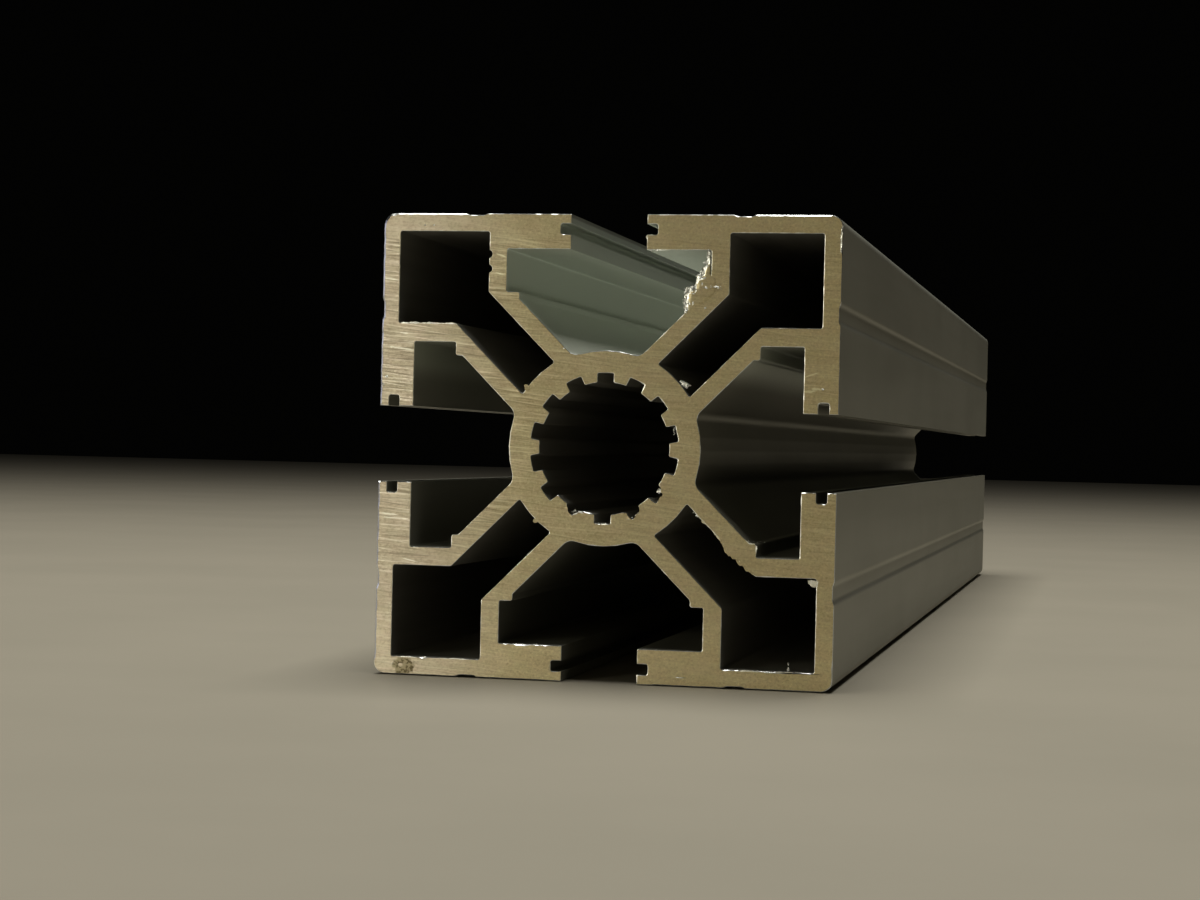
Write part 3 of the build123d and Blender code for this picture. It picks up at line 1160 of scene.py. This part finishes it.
def sawn_metal():
    """Bare aluminium with the slanting marks of the saw across it, painted shade to the right,
    painted light near the floor, and painted highlights in its lines and scratches.
    """
    material, tree, shader = metal("sawn_metal")
    place = millimetres(tree)
    parts = add_node(tree, "ShaderNodeSeparateXYZ", {0: place}).outputs
    strength = line_highlight_strength(tree, parts)
    bright = saw_lines(tree, place, BRIGHT_LINES, strength)
    dark = saw_lines(tree, place, DARK_LINES, strength)
    scratch_glint = scratches(tree, place)
    # Painted shade, darker and warmer to the right; the light and dark specks also follow this ramp
    shade_and_specks_right = ramp(tree, parts["X"], *PAINTED_SHADE_ACROSS)
    painted_floor_light = ramp(tree, parts["Z"], *PAINTED_FLOOR_LIGHT_DOWN)
    fine = stretched_noise(tree, place, (3.0, 3.0, 0.18), slant=FINE_SLANT, shift=3.0)
    broad = stretched_noise(tree, place, (20.0, 20.0, 1.6), slant=BROAD_SLANT, shift=5.0)
    mottle = stretched_noise(tree, place, (0.4, 0.4, 0.3), detail=4.0, roughness=0.65, shift=9.0)
    speck = stretched_noise(tree, place, (0.3, 0.3, 0.3), detail=2.0, shift=17.0)
    hue = stretched_noise(tree, place, (3.0, 3.0, 1.6), detail=2.0, shift=6.0)
    streaky = product(tree, ramp(tree, fine, *MIDDLE_SPAN, 0.0, STREAK_SHARE), strength)
    mottled = ramp(tree, mottle, *MOTTLE_SPAN, 0.0, MOTTLE_SHARE)
    light_speck = product(tree, ramp(tree, speck, *LIGHT_SPECK_SPAN), shade_and_specks_right)
    dark_speck = product(tree, ramp(tree, speck, *DARK_SPECK_SPAN), shade_and_specks_right)
    layers = (
        (streaky, STREAK_COLOUR),
        (mottled, MOTTLE_COLOUR),
        (product(tree, light_speck, LIGHT_SPECK_SHARE), LIGHT_SPECK_COLOUR),
        (product(tree, dark_speck, DARK_SPECK_SHARE), DARK_SPECK_COLOUR),
        (product(tree, dark, DARK_LINE_SHARE), DARK_LINE_COLOUR),
        (product(tree, bright, BRIGHT_LINE_SHARE), BRIGHT_LINE_COLOUR),
        (product(tree, scratch_glint, SCRATCH_SHARE), SCRATCH_GLINT_COLOUR),
    )
    # The last two tints are painted shade to the right and painted light near the floor
    tints = (
        (ramp(tree, hue, *MIDDLE_SPAN, 0.0, HUE_SHARE), HUE_FACTOR),
        (shade_and_specks_right, PAINTED_SHADE_FACTOR),
        (painted_floor_light, PAINTED_FLOOR_LIGHT_FACTOR),
    )
    tone = mixed(tree, ramp(tree, broad, *MIDDLE_SPAN), SAWN_DARK, SAWN_LIGHT)
    for share, colour in layers:
        tone = mixed(tree, share, tone, colour)
    tone = soiled(tree, place, tone)
    for share, factor in tints:
        tone = mixed(tree, share, tone, factor, "MULTIPLY")
    streaks = product(tree, product(tree, fine, strength), SAWN_RELIEF)
    relief = maths(tree, "MULTIPLY_ADD", mottle, SAWN_RELIEF, streaks)
    lean = maths(tree, "SUBTRACT", maths(tree, "SUBTRACT", dark, bright), scratch_glint)
    relieved = bumped(tree, relief, strength=1.0, distance=1.8e-5)
    normal = leaned(tree, relieved, product(tree, lean, LINE_LEAN))
    upright = add_node(tree, "ShaderNodeTangent", direction_type="RADIAL", axis="X").outputs[0]
    gloss = ramp(tree, mottle, *WIDE_SPAN, *SAWN_ROUGHNESS)
    shader.inputs["Anisotropic"].default_value = SAWN_ANISOTROPY
    plug(tree, shader, {"Roughness": gloss, "Tangent": upright, "Base Color": tone, "Normal": normal})
    return material


def torn_metal():
    """Freshly torn aluminium, bright and rough to the touch."""
    material, tree, shader = metal("torn_metal")
    speck = stretched_noise(tree, millimetres(tree), (0.12, 0.12, 0.12), detail=3.0)
    tone = mixed(tree, ramp(tree, speck, *TORN_SPAN), TORN_DARK, TORN_LIGHT)
    normal = bumped(tree, speck, strength=0.6, distance=2.0e-5)
    shader.inputs["Roughness"].default_value = TORN_ROUGHNESS
    plug(tree, shader, {"Base Color": tone, "Normal": normal})
    return material


def floor_object():
    """A plain pale floor under the stock."""
    half = FLOOR_HALF_SIZE
    z = -FLOOR_GAP * MM
    corners = [(-half, -half, z), (half, -half, z), (half, half, z), (-half, half, z)]
    mesh = bpy.data.meshes.new("floor")
    mesh.from_pydata(corners, [], [(0, 1, 2, 3)])
    floor = bpy.data.objects.new("floor", mesh)
    bpy.context.scene.collection.objects.link(floor)
    material = bpy.data.materials.new("floor")
    material.use_nodes = True
    tree = material.node_tree
    shader = tree.nodes["Principled BSDF"]
    cloud = stretched_noise(tree, millimetres(tree), (60.0, 60.0, 60.0), detail=4.0)
    tone = mixed(tree, ramp(tree, cloud, *WIDE_SPAN), FLOOR_DARK, FLOOR_LIGHT)
    plug(tree, shader, {"Base Color": tone})
    shader.inputs["Roughness"].default_value = FLOOR_ROUGHNESS
    mesh.materials.append(material)


def area_light(name, place, target, size, power, colour, spread):
    """A soft rectangular light that looks at its target, its beam as wide as the spread."""
    lamp = bpy.data.lights.new(name, "AREA")
    lamp.shape = "RECTANGLE"
    lamp.size, lamp.size_y = size
    lamp.energy = power
    lamp.color = colour
    lamp.spread = math.radians(spread)
    light = bpy.data.objects.new(name, lamp)
    light.location = place
    aim = Vector(target) - Vector(place)
    light.rotation_euler = aim.to_track_quat("-Z", "Y").to_euler()
    bpy.context.scene.collection.objects.link(light)


def lights():
    """Soft studio light: a side light, weak front and rim lights, and one overhead."""
    for lamp in LAMPS:
        area_light(*lamp)
    world = bpy.data.worlds.new("surroundings")
    world.use_nodes = True
    background = world.node_tree.nodes["Background"]
    background.inputs["Color"].default_value = (*WORLD_COLOUR, 1.0)
    bpy.context.scene.world = world


def camera():
    """The photograph's camera."""
    lens = bpy.data.cameras.new("camera")
    lens.sensor_fit = "HORIZONTAL"
    lens.sensor_width = SENSOR_WIDTH
    lens.lens = FOCAL_LENGTH
    lens.clip_start = NEAREST_DISTANCE
    view = bpy.data.objects.new("camera", lens)
    upright = Matrix.Rotation(math.radians(90) + CAMERA_PITCH, 4, "X")
    aimed = Matrix.Rotation(CAMERA_YAW, 4, "Z") @ upright @ Matrix.Rotation(CAMERA_ROLL, 4, "Z")
    view.matrix_world = Matrix.Translation(CAMERA_PLACE) @ aimed
    bpy.context.scene.collection.objects.link(view)
    bpy.context.scene.camera = view


piece = profile_object(*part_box(NODE))
for finish in (anodised_skin(), mill_metal(), sawn_metal(), torn_metal()):
    piece.data.materials.append(finish)
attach(piece, BODY)
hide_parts(NODE)

floor_object()
lights()
camera()
bpy.context.scene.view_settings.view_transform = "Standard"
